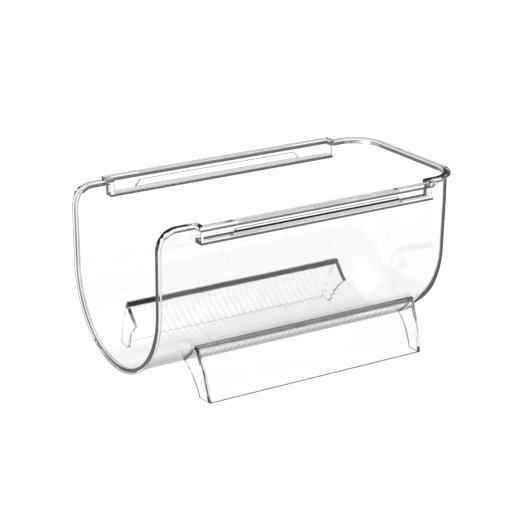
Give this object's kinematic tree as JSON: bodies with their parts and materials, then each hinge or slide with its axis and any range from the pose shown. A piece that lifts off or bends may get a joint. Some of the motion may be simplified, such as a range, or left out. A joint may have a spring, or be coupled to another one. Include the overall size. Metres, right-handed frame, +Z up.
{
  "type": "stackable bottle holder",
  "caption": "Clear plastic bottle holder: a rounded trough with one open end on two feet, with slotted stacking channels along its top edges.",
  "frame": {"origin": "middle of the bounding box on the resting plane, where the feet stand", "axes": "+Z up; +Y runs along the trough from the open end to the closed end; +X is to the right when looking in at the open end"},
  "size_m": [0.1164, 0.21, 0.1081],
  "materials": {
    "clear_plastic": "clear, polished moulded plastic"
  },
  "bodies": {
    "root": {"floor_cradle": "clear_plastic", "side_wall_left": "clear_plastic", "side_wall_right": "clear_plastic", "closed_end": "clear_plastic", "open_end_lip": "clear_plastic", "rear_rim_lip": "clear_plastic", "channel_ledge_left": "clear_plastic", "slotted_web_left": "clear_plastic", "front_return_left": "clear_plastic", "rear_return_left": "clear_plastic", "rail_lip_left": "clear_plastic", "channel_ledge_right": "clear_plastic", "slotted_web_right": "clear_plastic", "front_return_right": "clear_plastic", "rear_return_right": "clear_plastic", "rail_lip_right": "clear_plastic", "foot_plate_left": "clear_plastic", "foot_gusset_front_left": "clear_plastic", "foot_gusset_rear_left": "clear_plastic", "foot_plate_right": "clear_plastic", "foot_gusset_front_right": "clear_plastic", "foot_gusset_rear_right": "clear_plastic", "floor_ribs": "clear_plastic"}
  },
  "joints": []
}
